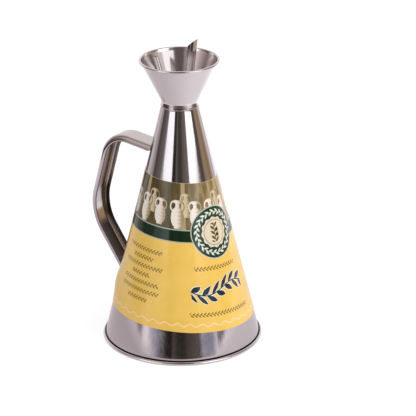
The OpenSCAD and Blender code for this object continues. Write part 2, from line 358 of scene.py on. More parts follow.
# %% Cone of rolled sheet
def cone_outline():
    """Section of the cone's sheet, from the bead to the turned ring at the top."""
    foot_z, ring_z = CREASE_Z + 0.5, CONE_TOP - RING_R
    heights = [foot_z + 0.3] + [5.0 + (ring_z - 6.0) * i / 48 for i in range(49)] + [ring_z - 0.1]
    wall = [(cone_radius(z), z) for z in heights]
    back = [(r - SHEET, z) for r, z in wall[-2:1:-12]]
    ring = arc(cone_radius(CONE_TOP), CONE_TOP, RING_R, -75, 90, 10)
    foot = [(SKIRT_R - SHEET, CREASE_Z - 0.1), (SKIRT_R, CREASE_Z - 0.1),
            (SKIRT_R + 0.05, CREASE_Z + 0.15), (cone_radius(foot_z) - 0.03, foot_z)]
    neck = [(SPIGOT_R + 0.1, CONE_TOP + RING_R), (SPIGOT_R + 0.1, CONE_TOP - 0.4)]
    return foot + wall + ring + neck + back


cone_sheet = turned("cone_sheet", cone_outline(), steps=320, ripple=0.05)
cone_sheet.data.materials.append(cone_steel)
shade_crease(cone_sheet)
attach(cone_sheet, "can")
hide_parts("body_cone")
print("cone_sheet", len(cone_sheet.data.polygons), "faces")

# %% [markdown]
# The funnel
#
# The funnel is spun on a lathe from one disc: the wall flares in a smooth curve out of the
# neck, and the rim is curled outwards so that no raw edge is left. The flare is an arc, since
# the metal follows the spinning tool, and the arc is what bends the reflections at the neck.

# %% Spun funnel with its curled rim
NECK_R = 12.7
RIM_R = 0.9
RIM_MID_R = funnel_high.x - RIM_R
RIM_MID_Z = funnel_high.z - RIM_R
FUNNEL_TAPER = 0.4935
FLARE_R, FLARE_Z, FLARE_BEND = 13.7, 174.5, 3.5


def funnel_radius(z):
    """Outer radius of the funnel's straight wall at height z."""
    return FLARE_R + FUNNEL_TAPER * (z - FLARE_Z)


def funnel_outline():
    """Section of the spigot, the neck, the flare, the wall and the curled rim."""
    slope = degrees(atan(FUNNEL_TAPER))
    meet_z = FLARE_Z - (FLARE_R - NECK_R) / FUNNEL_TAPER
    start_z = meet_z - FLARE_BEND * tan(radians(slope / 2))
    flare = arc(NECK_R + FLARE_BEND, start_z, FLARE_BEND, 180, 180 - slope, 10)
    low, top = flare[-1][1] + 0.2, RIM_MID_Z - 0.4
    wall = [(funnel_radius(z), z) for z in [low + (top - low) * i / 18 for i in range(19)]]
    rim = arc(RIM_MID_R, RIM_MID_Z, RIM_R, -110, 160, 26)
    inner = [(r - SHEET * 1.11, z) for r, z in wall[::-1]]
    throat = [(r - SHEET, z) for r, z in flare[::-1]]
    seat = CONE_TOP + RING_R
    return ([(SPIGOT_R - SHEET, 158), (SPIGOT_R, 158), (SPIGOT_R, seat), (NECK_R + 0.15, seat),
             (NECK_R + 0.1, seat + 0.3)] + flare + wall + rim + inner + throat
            + [(NECK_R - SHEET, seat + 0.9), (SPIGOT_R - SHEET, seat + 0.4)])


funnel_sheet = turned("funnel_sheet", funnel_outline(), ripple=0.03)
funnel_sheet.data.materials.append(spun_steel)
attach(funnel_sheet, "can")
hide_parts("funnel")
print("funnel_sheet", len(funnel_sheet.data.polygons), "faces")

# %% [markdown]
# The handle
#
# The handle is one strap of sheet with both edges turned in, which makes it stiff and keeps
# sharp edges away from the fingers. It is bent over a former at the top corner and at the
# knee. At each end the web runs on as a flat tab that lies on the cone and is spot-welded.

# %% Bent strap
STRAP_W, STRAP_T, STRAP_D, STRAP_ROUND = 16.0, 0.8, 4.9, 3.1
ARM_Z, ARM_RISE = 134.7, 7.4
CORNER_X, KNEE_X, KNEE_Z = 56.5, 74.3, 78.4
CORNER_BEND, KNEE_BEND, LEG_ANGLE = 20.5, 38.0, 34.1
TAB_W, TAB_H, FOOT_Z = 11.0, 12.0, 38.5
SPLAY, FLANGE_STOP = 7.0, 1.6


def strap_section():
    """Section of the strap and the finish of each strip of it: the web is at 0, and the edges
    are turned in and a little splayed."""
    half, out, lip = STRAP_W / 2, STRAP_ROUND, STRAP_T / 2
    run = STRAP_D - lip - out
    lean = radians(SPLAY)
    end_x = -out + (out - lip) * sin(lean) - run * cos(lean)
    end_y = half - out + (out - lip) * cos(lean) + run * sin(lean)
    edge = arc(end_x, end_y, lip, 90 - SPLAY, 270 - SPLAY, 6)
    inner = arc(-out, half - out, out - STRAP_T, 90 - SPLAY, 0, 8)
    right = edge + inner
    left = [(x, -y) for x, y in right[::-1]]
    outer = (arc(-out, -half + out, out, SPLAY - 90, 0, 10)
             + arc(-out, half - out, out, 0, 90 - SPLAY, 10))
    # The strips inside the channel and on the inner roundings of its edges take the steels with painted
    # shade.
    polished, inside, bend, cut_edge = range(4)
    finishes = ([cut_edge] * 6 + [bend] * len(inner) + [inside] + [bend] * len(inner)
                + [cut_edge] * 6 + [polished] * (len(outer) + 1))
    return right + left + outer, finishes


def to_cone(ring, section, direction):
    """Slides an end ring along the strap: the web goes into the cone's face, and the turned
    edges stop short of it."""
    moved = []
    for (x, y, z), (left, side) in zip(ring, section):
        short = FLANGE_STOP if left < -STRAP_ROUND else -0.25
        for _ in range(12):
            gap = hypot(x, y) - cone_radius(z) - short
            closing = -x * direction[0] / hypot(x, y) - CONE_TAPER * direction[1]
            x, z = x + direction[0] * gap / closing, z + direction[1] * gap / closing
        moved.append((x, y, z))
    return moved


def strap_stations():
    """Walk along the strap's outer face, from the cone out along the arm and back down the leg."""
    arm = tan(radians(ARM_RISE))
    corner = (CORNER_X, ARM_Z + CORNER_X * arm)
    grip = degrees(atan2(KNEE_Z - corner[1], KNEE_X - corner[0]))
    leg = -90 - LEG_ANGLE
    cut1 = CORNER_BEND * tan(radians(ARM_RISE - grip) / 2)
    cut2 = KNEE_BEND * tan(radians(grip - leg) / 2)
    grip_run = dist(corner, (KNEE_X, KNEE_Z)) - cut1 - cut2
    start_x = cone_radius(ARM_Z) + 5
    arm_run = (CORNER_X - start_x) / cos(radians(ARM_RISE)) - cut1
    leg_run = (KNEE_Z - FOOT_Z - 6) / cos(radians(LEG_ANGLE)) - cut2
    moves = [(arm_run, 0), (CORNER_BEND, grip - ARM_RISE), (grip_run, 0),
             (KNEE_BEND, leg - grip), (leg_run, 0)]
    return walk(start_x, ARM_Z + start_x * arm, ARM_RISE, moves)


def strap_rings():
    """Rings of the strap with both ends carried on to the cone, turned over to the -X side."""
    stations, (section, _) = strap_stations(), strap_section()
    rings = [ring_at(s, section) for s in stations]
    first, last = radians(stations[0][2] + 180), radians(stations[-1][2])
    rings.insert(0, to_cone(rings[0], section, (cos(first), sin(first))))
    rings.append(to_cone(rings[-1], section, (cos(last), sin(last))))
    return [[(-x, -y, z) for x, y, z in ring] for ring in rings]


handle_strap = skin("handle_strap", strap_rings(), closed=False, finishes=strap_section()[1])
for finish in (strap_steel, strap_inside_shaded, strap_bend_shaded, sheared_edge):
    handle_strap.data.materials.append(finish)
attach(handle_strap, "can")
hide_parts("handle")
print("handle_strap", len(handle_strap.data.polygons), "faces")

# %% Weld tabs
TAB_CORNER, TAB_EDGE = 3, 0.3
SPOT_SIDE, SPOT_DOWN, SPOT_R, SPOT_DEPTH = 2.6, 0.55, 1.5, 0.22


def tab_rings(top, rows=24):
    """Rings of one tab on the cone, with rounded corners and two pressed weld spots."""
    slant = hypot(1, CONE_TAPER)
    rings = []
    for i in range(rows + 1):
        z = top - TAB_H * i / rows
        near_end = max(0.0, TAB_H * i / rows - (TAB_H - TAB_CORNER))
        rounding = sqrt(max(0.0, TAB_CORNER * TAB_CORNER - near_end * near_end))
        half = TAB_W / 2 - (TAB_CORNER - rounding)
        face, back = [], []
        for k in range(25):
            y = half * (1 - k / 12)
            spot = min(hypot(abs(y) - SPOT_SIDE, z - top + TAB_H * SPOT_DOWN) / SPOT_R, 1.0)
            rise = STRAP_T * slant - SPOT_DEPTH * (1 - spot * spot) ** 2
            edge = min(1.0, (half - abs(y)) / TAB_EDGE, (TAB_H * (rows - i) / rows) / TAB_EDGE)
            rise -= TAB_EDGE * (1 - edge) ** 2
            for side, lift in ((face, rise), (back, -0.2)):
                radius = cone_radius(z) + lift
                side.append((-sqrt(radius * radius - y * y), y, z))
        rings.append(face + back[::-1])
    return rings


head_z = ARM_Z + cone_radius(ARM_Z) * tan(radians(ARM_RISE)) - STRAP_T / 3
for tab_name, tab_top in (("weld_tab_upper", head_z), ("weld_tab_lower", FOOT_Z)):
    weld_tab = skin(tab_name, tab_rings(tab_top), closed=False)
    weld_tab.data.materials.append(strap_steel)
    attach(weld_tab, "can")
    print(tab_name, len(weld_tab.data.polygons), "faces")

# %% [markdown]
# The spout and the vent
#
# Both are drawn tube, bent cold. The spout leans over the rim and ends in a slanting cut, so
# that the last drop breaks off its sharp upper side. The thin vent lets air in behind the oil
# while it pours. The ends show how thin the walls are, so each tube has its bore.

# %% Tubes
SPOUT_R, SPOUT_WALL, SPOUT_X, SPOUT_LEAN = 3.1, 0.5, 6.1, 7.8
SPOUT_BEND_Z, SPOUT_BEND, SPOUT_RUN, TIP_CUT = 175.0, 40.0, 24, 41.4
VENT_R, VENT_WALL, VENT_X, VENT_OUT, VENT_LEAN = 1.75, 0.4, 7.6, 43.0, 20.0
VENT_BEND_Z, VENT_BEND_1, VENT_BEND_2, VENT_END = 174.8, 10.0, 30.0, 7.2


def slanting_cut(ring):
    """Slides the spout's last ring along the tube onto the plane of its slanting cut."""
    lean, slope = radians(SPOUT_LEAN), tan(radians(TIP_CUT))
    rise = spout_high.z - SPOUT_BEND_Z - SPOUT_BEND * sin(lean)
    tip_x = (SPOUT_X + SPOUT_BEND * (1 - cos(lean)) + rise * tan(lean)
             + SPOUT_R / cos(lean))
    moved = []
    for x, y, z in ring:
        way = ((spout_high.z + (x - tip_x) * slope - z)
               / (cos(lean) - slope * sin(lean)))
        moved.append((x + way * sin(lean), y, z + way * cos(lean)))
    return moved


spout_path = walk(SPOUT_X, spout_low.z, 90, [(SPOUT_BEND_Z - spout_low.z, 0),
                                             (SPOUT_BEND, -SPOUT_LEAN), (SPOUT_RUN, 0)])
spout_tube = tube("spout_tube", spout_path, SPOUT_R, SPOUT_WALL, cut=slanting_cut)
vent_path = walk(-VENT_X, vent_low.z, 90, [(VENT_BEND_Z - vent_low.z, 0), (VENT_BEND_1, VENT_OUT),
                                           (VENT_BEND_2, VENT_LEAN - VENT_OUT), (VENT_END, 0)])
vent_pipe = tube("vent_pipe", vent_path, VENT_R, VENT_WALL, around=32)
for pipe, finish, body, node in ((spout_tube, spout_steel, "spout", "pour_spout"),
                                 (vent_pipe, tube_steel, "vent", "vent_tube")):
    pipe.data.materials.append(finish)
    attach(pipe, body)
    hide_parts(node)
    print(pipe.name, len(pipe.data.polygons), "faces")

# %% [markdown]
# The silicone stopper
#
# The stopper is moulded silicone: dark, matt and a little dusty, with a faint sheen. Its
# turned shape and its holes come from the frame, which is right as it is, so it only gets a
# finish: a fine mould grain of about 0.2 mm and a soft, waxy look.

# %% Silicone
def moulded_silicone():
    """Dark silicone with a mould grain and a trace of dust."""
    material, tree = new_material("silicone_moulded")
    place = add(tree, "TexCoord").outputs["Object"]
    grain = add(tree, "TexNoise", place, Scale=1 / (0.2 * MM), Detail=2.0)
    dust = add(tree, "TexNoise", place, Scale=1 / (3 * MM), Detail=4.0)
    tone = add(tree, "MapRange", dust, 0.4, 0.8, 0.0, 0.35)
    colour = add(tree, "MixRGB", tone, "#2B2A2C", "#4A494B")
    bump = add(tree, "Bump", Strength=1.0, Distance=0.004 * MM, Height=grain)
    shader = add(tree, "BsdfPrincipled", Base_Color=colour, Roughness=0.55, IOR=1.41, Normal=bump)
    add(tree, "OutputMaterial", shader)
    return material


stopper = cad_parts["stopper"]
stopper.data.materials.clear()
stopper.data.materials.append(moulded_silicone())

# %% [markdown]
# The paper label
#
# The label is coated paper, printed in sepia, dark green and warm yellow, and glued round the
# cone a little crooked, so that its edges slope. It is a closed shell as thick as the paper
# and its glue, with a gap behind the handle. It stands off a touch along its edges, and more
# at one blister beside the handle's foot, which shows in the photo as a bulge in the outline.

# %% Label shell
PAPER = 0.25
LABEL_Z0, LABEL_Z1 = 22.4, 121.1
LABEL_TILT, LABEL_TILT_SIDE, LABEL_GAP = 4.8, 35.0, 17.0
EDGE_LIFT, EDGE_REACH = 0.10, 5
BLISTER, BLISTER_Z, BLISTER_ANGLE, BLISTER_TALL, BLISTER_WIDE = 1.5, 41, -148, 9.5, 18


def label_height(level, angle):
    """Height on the cone where the crooked label's own level line runs at this angle."""
    slope = tan(radians(LABEL_TILT)) * cos(angle - radians(LABEL_TILT_SIDE))
    return (level - slope * CONE_R0) / (1 - slope * CONE_TAPER)


def blister(angle, z):
    """How far the paper stands off at its blister, low on the handle's side."""
    up, aside = (z - BLISTER_Z) / BLISTER_TALL, (angle - BLISTER_ANGLE) / BLISTER_WIDE
    return BLISTER * exp(-up ** 2 - aside ** 2)


def label_ring(angle, rows=60):
    """Section of the paper at one angle: up the printed face and down the glued back."""
    bottom, top = label_height(LABEL_Z0, angle), label_height(LABEL_Z1, angle)
    face, back = [], []
    for i in range(rows + 1):
        t = i / rows
        z = bottom + (top - bottom) * t
        edge = min(t, 1 - t) * (top - bottom)
        place = Vector((cos(angle) * 40, sin(angle) * 40, z)) / 16
        lift = EDGE_LIFT * max(0.0, noise.noise(place)) * exp(-edge / EDGE_REACH)
        ripple = 0.05 * noise.noise(Vector((cos(angle), sin(angle), z / 60)) * 2)
        radius = cone_radius(z) + PAPER + lift + ripple + blister(degrees(angle), z)
        face.append((radius * cos(angle), radius * sin(angle), z))
        radius = cone_radius(z) - 0.02
        back.append((radius * cos(angle), radius * sin(angle), z))
    return face + back[::-1]


label_reach = radians(180 - LABEL_GAP)
paper_label = skin("paper_label", [label_ring(label_reach * (2 * i / 300 - 1)) for i in range(301)],
                   closed=False, crease=60)
print("paper_label", len(paper_label.data.polygons), "faces")

# %% [markdown]
# Drawing the print with numbers
#
# No picture is used. Each motif is a rule that says where its ink lies, in millimetres on the
# paper: a stripe is a band of heights, a badge is a distance from its middle, and a sprig is
# one leaf that is repeated along a line. A leaf is the space between two bent lines, so the
# rule is that a point lies closer to the leaf's middle line than a parabola allows.

# %% Motifs
def distance(tree, dx, dy):
    """Distance of a point from the middle of its motif."""
    spot = add(tree, "CombineXYZ", dx, dy)
    return add(tree, "VectorMath", spot, operation="LENGTH").outputs["Value"]


def leaves(tree, along, across, pitch, length, width, lean, grow=0.0):
    """Ink of leaves in two rows, one on each side of the line across = 0."""
    below = add(tree, "Math", across, 0.0, operation="LESS_THAN")
    shift = add(tree, "Math", below, pitch / 2, along, operation="MULTIPLY_ADD")
    cell = add(tree, "Math", shift, pitch, operation="FLOORED_MODULO")
    off = add(tree, "Math", across, operation="ABSOLUTE")
    c, s = cos(radians(lean)), sin(radians(lean))
    a1 = add(tree, "Math", off, s, operation="MULTIPLY")
    a = add(tree, "Math", cell, c, a1, operation="MULTIPLY_ADD")
    b1 = add(tree, "Math", off, c, operation="MULTIPLY")
    b = add(tree, "Math", cell, -s, b1, operation="MULTIPLY_ADD")
    t = add(tree, "Math", a, length, operation="DIVIDE")
    rest = add(tree, "Math", 1.0, t, operation="SUBTRACT")
    bulge = add(tree, "Math", t, rest, operation="MULTIPLY")
    room = add(tree, "Math", bulge, 2 * width, grow, operation="MULTIPLY_ADD")
    b_size = add(tree, "Math", b, operation="ABSOLUTE")
    return add(tree, "Math", b_size, room, operation="LESS_THAN")


def dots(tree, along, across, pitch, offset, side, radius):
    """Ink of round dots, one each pitch, at a distance side from the line."""
    shift = add(tree, "Math", along, offset, operation="ADD")
    cell = add(tree, "Math", shift, pitch, operation="FLOORED_MODULO")
    dx = add(tree, "Math", cell, pitch / 2, operation="SUBTRACT")
    dy = add(tree, "Math", across, side, operation="SUBTRACT")
    return add(tree, "Math", distance(tree, dx, dy), radius, operation="LESS_THAN")


def band(tree, value, middle, half):
    """1 where the value is within half of the middle."""
    return add(tree, "Math", value, middle, half, operation="COMPARE")


def combined(tree, operation, inks):
    """Any number of inks made into one, two at a time."""
    result = inks[0]
    for ink in inks[1:]:
        result = add(tree, "Math", result, ink, operation=operation)
    return result


def either(tree, *inks):
    """Ink where any of the inks lies."""
    return combined(tree, "MAXIMUM", inks)


def both(tree, *inks):
    """Ink only where all of the inks lie."""
    return combined(tree, "MULTIPLY", inks)


def paint(tree, ground, ink, colour):
    """Lays a colour over the ground where the ink lies."""
    return add(tree, "MixRGB", ink, ground, colour)


# %% [markdown]
# The label's own rulers
#
# The print needs two numbers at each point: the angle round the cone, which becomes a length
# on the paper when it is multiplied by the radius, and the height in the label's crooked
# frame. Both are worked out from the object's own coordinates, so the print moves with the
# tin and needs no unwrapping.

# %% Rulers on the paper
def paper_rulers(tree):
    """Angle round the cone, height, and height in the label's own crooked frame, in mm."""
    place = add(tree, "TexCoord").outputs["Object"]
    in_mm = add(tree, "VectorMath", place, Scale=1 / MM, operation="SCALE")
    split = add(tree, "SeparateXYZ", in_mm)
    x, y, z = split.outputs
    angle = add(tree, "Math", y, x, operation="ARCTAN2")
    radius = add(tree, "Math", z, -CONE_TAPER, CONE_R0, operation="MULTIPLY_ADD")
    side = radians(LABEL_TILT_SIDE)
    slope = tan(radians(LABEL_TILT))
    part = add(tree, "Math", x, slope * cos(side), z, operation="MULTIPLY_ADD")
    level = add(tree, "Math", y, slope * sin(side), part, operation="MULTIPLY_ADD")
    return angle, radius, z, level


def from_point(tree, angle, radius, height, at_angle, at_height):
    """Lengths on the paper from a point: along the cone and up its slope."""
    turn = add(tree, "Math", angle, radians(at_angle), operation="SUBTRACT")
    along = add(tree, "Math", turn, radius, operation="MULTIPLY")
    rise = add(tree, "Math", height, at_height, operation="SUBTRACT")
    slant = add(tree, "Math", rise, hypot(1, CONE_TAPER), operation="MULTIPLY")
    return along, slant


# %% Oil jars in sepia
FRIEZE_R, POST_SHIFT, POST_PITCH, POST_HALF = 28.0, 11.5, 28.1, 1.5
JAR_PITCH = 23.4
JAR_ROWS = [(11.7, 99.0, 1.12, "#CDBE9F", "#8A764A"), (5.8, 92.4, 1.24, "#E6DCD0", "#A8946C"),
            (17.6, 91.4, 1.34, "#EADFD2", "#9C875E")]


def ellipse(tree, dx, dy, mid_x, mid_y, half_x, half_y):
    """Distance from an ellipse's middle, where 1 is its edge."""
    u = add(tree, "Math", dx, 1 / half_x, -mid_x / half_x, operation="MULTIPLY_ADD")
    v = add(tree, "Math", dy, 1 / half_y, -mid_y / half_y, operation="MULTIPLY_ADD")
    return distance(tree, u, v)


def jar(tree, dx, dy):
    """Ink of one clay oil jar with two ear handles, 14 mm high. Its foot stands at dy = 0."""
    off = add(tree, "Math", dx, operation="ABSOLUTE")
    inside = add(tree, "Math", ellipse(tree, dx, dy, 0, 5.2, 3.1, 5.3), 1.0, operation="LESS_THAN")
    neck = both(tree, band(tree, dx, 0.0, 1.0), band(tree, dy, 10.8, 2.2))
    lip = both(tree, band(tree, dx, 0.0, 1.8), band(tree, dy, 13.2, 0.5))
    foot = both(tree, band(tree, dx, 0.0, 1.5), band(tree, dy, 0.2, 0.5))
    ear = band(tree, ellipse(tree, off, dy, 1.9, 10.6, 1.5, 2.3), 1.0, 0.2)
    return either(tree, inside, neck, lip, foot, ear)


def jar_row(tree, ground, around, level, shift, base, size, light, shade):
    """A row of jars round the cone, pale on the left and shaded on the right."""
    place = add(tree, "Math", around, shift, operation="ADD")
    cell = add(tree, "Math", place, JAR_PITCH, operation="FLOORED_MODULO")
    dx = add(tree, "Math", cell, 1 / size, -JAR_PITCH / 2 / size, operation="MULTIPLY_ADD")
    dy = add(tree, "Math", level, 1 / size, -base / size, operation="MULTIPLY_ADD")
    stripes = add(tree, "Math", dy, 3.4, operation="MULTIPLY")
    hatch = add(tree, "Math", add(tree, "Math", stripes, operation="SINE"), 0.28, dx,
                operation="MULTIPLY_ADD")
    tint = add(tree, "MixRGB", stepped(tree, hatch, -0.6, 2.6), light, shade)
    return add(tree, "MixRGB", jar(tree, dx, dy), ground, tint)


def frieze(tree, angle, level):
    """Sepia frieze of oil jars before a dark grove with pale posts, paler towards the right."""
    around = add(tree, "Math", angle, FRIEZE_R, operation="MULTIPLY")
    place = add(tree, "CombineXYZ", around, level)
    tall = add(tree, "Mapping", place, Scale=(0.30, 0.07, 1.0))
    trees = add(tree, "MapRange", add(tree, "TexNoise", tall, Scale=1.0, Detail=4.0), 0.38, 0.62)
    dark = add(tree, "MixRGB", trees, "#41351B", "#5E4E2C")
    pale = add(tree, "MixRGB", trees, "#866F42", "#B7A27A")
    ground = add(tree, "MixRGB", stepped(tree, angle, radians(-80), radians(20)), dark, pale)
    post_place = add(tree, "Math", around, POST_SHIFT, operation="ADD")
    cell = add(tree, "Math", post_place, POST_PITCH, operation="FLOORED_MODULO")
    post = band(tree, cell, POST_PITCH / 2, POST_HALF)
    ground = paint(tree, ground, post, "#A8976F")
    for row in JAR_ROWS:
        ground = jar_row(tree, ground, around, level, *row)
    return ground


# %% The badge
BADGE_ANGLE, BADGE_Z, BADGE_R, BADGE_RIM = -12.4, 85.6, 17.45, 18.15
WREATH_R, WREATH_LEAVES, FIELD_R, FIELD_LOBES = 13.9, 22, 10.3, 12.0


def badge(tree, ground, angle, radius, height):
    """Dark green round badge with a scalloped cream field, a wreath and a sprig."""
    along, up = from_point(tree, angle, radius, height, BADGE_ANGLE, BADGE_Z)
    far = distance(tree, along, up)
    turn = add(tree, "Math", up, along, operation="ARCTAN2")
    lobe_turn = add(tree, "Math", turn, FIELD_LOBES, operation="MULTIPLY")
    lobes = add(tree, "Math", lobe_turn, operation="COSINE")
    for edge, colour in ((BADGE_RIM, "#B9BFB2"), (BADGE_R, "#14392A")):
        ground = paint(tree, ground, add(tree, "Math", far, edge, operation="LESS_THAN"), colour)
    line = add(tree, "Math", turn, WREATH_R, operation="MULTIPLY")
    off = add(tree, "Math", far, WREATH_R, operation="SUBTRACT")
    wreath = leaves(tree, line, off, tau * WREATH_R / WREATH_LEAVES, 3.6, 1.25, 32)
    ground = paint(tree, ground, either(tree, wreath, band(tree, off, 0.0, 0.16)), "#DDE0CF")
    scallop = add(tree, "Math", lobes, 0.45, FIELD_R, operation="MULTIPLY_ADD")
    field = add(tree, "Math", far, scallop, operation="LESS_THAN")
    ground = paint(tree, ground, field, "#D9CDB4")
    ground = paint(tree, ground, band(tree, far, 8.6, 0.18), "#6E5426")
    return sprig_in_badge(tree, ground, along, up)


def sprig_in_badge(tree, ground, along, up):
    """A standing sprig with two olives, printed in sepia inside the badge."""
    short = band(tree, up, 0.0, 6.6)
    leaf = both(tree, short, leaves(tree, up, along, 3.4, 4.6, 1.7, 42))
    stem = both(tree, short, band(tree, along, 0.0, 0.28))
    olives = both(tree, band(tree, up, -0.6, 3.4), dots(tree, up, along, 3.4, 0.4, 2.2, 1.05))
    ground = paint(tree, ground, either(tree, leaf, stem), "#5B4A20")
    return paint(tree, ground, olives, "#2B2A16")


# %% Sprigs and rules on the yellow field
SPRIG_ANGLE, SPRIG_Z, SPRIG_HALF, SPRIG_WAVE = -17.0, 50.0, 22.0, 46


def large_sprig(tree, ground, angle, radius, level):
    """Large olive sprig in navy with a pale outline, in the middle of the yellow field."""
    along, up = from_point(tree, angle, radius, level, SPRIG_ANGLE, SPRIG_Z)
    turn = add(tree, "Math", along, tau / SPRIG_WAVE, operation="MULTIPLY")
    wave = add(tree, "Math", turn, operation="SINE")
    across = add(tree, "Math", wave, -3.4, up, operation="MULTIPLY_ADD")
    reach = band(tree, along, 0.0, SPRIG_HALF)
    outline = leaves(tree, along, across, 7.3, 9.4, 3.1, 40, grow=0.45)
    ink = leaves(tree, along, across, 7.3, 9.4, 3.1, 40)
    stem = band(tree, across, 0.0, 0.4)
    wide_stem = band(tree, across, 0.0, 0.85)
    olive = both(tree, band(tree, along, 2.0, 16.0), dots(tree, along, across, 14.6, 4.0, 2.6, 1.9))
    rim = both(tree, band(tree, along, 2.0, 16.5), dots(tree, along, across, 14.6, 4.0, 2.6, 2.4))
    pale = both(tree, reach, either(tree, outline, wide_stem, rim))
    dark = both(tree, reach, either(tree, ink, stem, olive))
    ground = paint(tree, ground, pale, "#E4E2D4")
    return paint(tree, ground, dark, "#1E2B38")


def fine_rule(tree, ground, angle, radius, level, at_angle, at_height, half):
    """A thin garland of tiny leaves, as a printed line of ornament."""
    along, up = from_point(tree, angle, radius, level, at_angle, at_height)
    tiny = leaves(tree, along, up, 2.6, 2.6, 0.8, 38)
    stem = band(tree, up, 0.0, 0.1)
    ink = both(tree, band(tree, along, 0.0, half), either(tree, tiny, stem))
    return paint(tree, ground, ink, "#6B5216")


def wave_line(tree, ground, angle, level):
    """The pale wavy line that runs round the label just above its lower edge."""
    wave = add(tree, "Math", add(tree, "Math", angle, 35.0, operation="MULTIPLY"), operation="SINE")
    line = add(tree, "Math", wave, -0.9, level, operation="MULTIPLY_ADD")
    return paint(tree, ground, band(tree, line, 27.2, 0.42), "#F4D2A2")


# %% [markdown]
# The printed paper as a finish
#
# Coated paper is a smooth white sheet under a thin clear layer, so the ink colours lie under
# a soft gloss. The fibres still show as a bump of a few thousandths of a millimetre, and the
# ink isn't quite even. The raw edge of the sheet is plain white paper.

# %% Label materials
STRIPE_Z, STRIPE_HALF, BORDER_Z, BORDER_HALF, FRIEZE_Z = 86.1, 4.3, (90.15, 82.1), 0.35, 90.1


def printed_paper():
    """Coated paper with the whole print, from the ground colours up to the ornaments."""
    material, tree = new_material("coated_paper_printed")
    angle, radius, height, level = paper_rulers(tree)
    place = add(tree, "TexCoord").outputs["Object"]
    ink_noise = add(tree, "TexNoise", place, Scale=1 / (14 * MM), Detail=3.0)
    yellow = add(tree, "MixRGB", add(tree, "MapRange", ink_noise, 0.35, 0.65), "#E6BD57", "#EBC362")
    ground = wave_line(tree, yellow, angle, level)
    ground = large_sprig(tree, ground, angle, radius, level)
    for at_angle, at_height, half in ((-17, 64.5, 17), (-17, 34.0, 25)):
        ground = fine_rule(tree, ground, angle, radius, level, at_angle, at_height, half)
    for row, half in enumerate((15, 9, 17, 8, 16, 17, 9)):
        ground = fine_rule(tree, ground, angle, radius, level, -100, 72.5 - 5.6 * row, half)
    stripe = band(tree, level, STRIPE_Z, STRIPE_HALF)
    border = either(tree, *[band(tree, level, z, BORDER_HALF) for z in BORDER_Z])
    above = add(tree, "Math", level, FRIEZE_Z, operation="GREATER_THAN")
    ground = add(tree, "MixRGB", above, ground, frieze(tree, angle, level))
    ground = paint(tree, ground, stripe, "#08260F")
    ground = paint(tree, ground, border, "#A9B0A2")
    ground = badge(tree, ground, angle, radius, height)
    fibre = add(tree, "TexNoise", place, Scale=1 / (0.35 * MM), Detail=3.0)
    rough = add(tree, "MapRange", ink_noise, 0.3, 0.7, 0.5, 0.6)
    bump = add(tree, "Bump", Strength=1.0, Distance=0.003 * MM, Height=fibre)
    shader = add(tree, "BsdfPrincipled", Base_Color=ground, Roughness=rough, IOR=1.47,
                 Specular_IOR_Level=0.1, Coat_Weight=0.9, Coat_Roughness=0.11, Normal=bump)
    add(tree, "OutputMaterial", shader)
    return material


def raw_paper():
    """The white cut edge of the sheet."""
    material, tree = new_material("paper_cut_edge")
    place = add(tree, "TexCoord").outputs["Object"]
    fibre = add(tree, "TexNoise", place, Scale=1 / (0.4 * MM), Detail=3.0)
    colour = add(tree, "MixRGB", fibre, "#E9DFC8", "#F4EEDF")
    shader = add(tree, "BsdfPrincipled", Base_Color=colour, Roughness=0.8, IOR=1.47)
    add(tree, "OutputMaterial", shader)
    return material


paper_label.data.materials.append(printed_paper())
paper_label.data.materials.append(raw_paper())
for face in paper_label.data.polygons:
    outward = Vector((face.center.x, face.center.y, 0)).normalized()
    face.material_index = 0 if abs(face.normal.dot(outward)) > 0.5 else 1
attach(paper_label, "can")
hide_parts("label_sleeve")
print("label print nodes:", len(paper_label.data.materials[0].node_tree.nodes))

# %% [markdown]
# The studio
#
# A mirror shows what is around it, so the steel gets its looks from the studio. The tin stands
# on a white table in a dim room with a few white panels. Reflections see that room, the camera
# sees white, and soft light of a plain level falls on everything else. The camera was solved
# from the photo together with the tin's proportions, and the room is matched to its reflections.

# %% Camera
FOCAL, SENSOR = 204.66, 36.0
CAMERA_PLACE = (0.8573, -1.2244, 0.7011)
CAMERA_AROUND, CAMERA_DOWN, CAMERA_ROLL = 35 - 0.7068, 22.1334, -0.4338
camera_data = bpy.data.cameras.new("camera")
camera_data.lens, camera_data.sensor_width = FOCAL, SENSOR
camera = bpy.data.objects.new("camera", camera_data)
bpy.context.scene.collection.objects.link(camera)
camera_turn = (Matrix.Rotation(radians(CAMERA_AROUND), 4, "Z")
               @ Matrix.Rotation(radians(90 - CAMERA_DOWN), 4, "X")
               @ Matrix.Rotation(radians(CAMERA_ROLL), 4, "Z"))
camera.matrix_world = Matrix.Translation(CAMERA_PLACE) @ camera_turn
bpy.context.scene.camera = camera
bpy.context.scene.view_settings.view_transform = "Standard"

# %% White table
BOARD_FRONT, BOARD_SIDE, BOARD_SOFT = 0.362, 0.468, 0.004


def sized(tree, value, half):
    """1 where the value is nearer to 0 than half, with an edge a few millimetres soft."""
    size = add(tree, "Math", value, operation="ABSOLUTE")
    return stepped(tree, size, half + BOARD_SOFT, half - BOARD_SOFT)


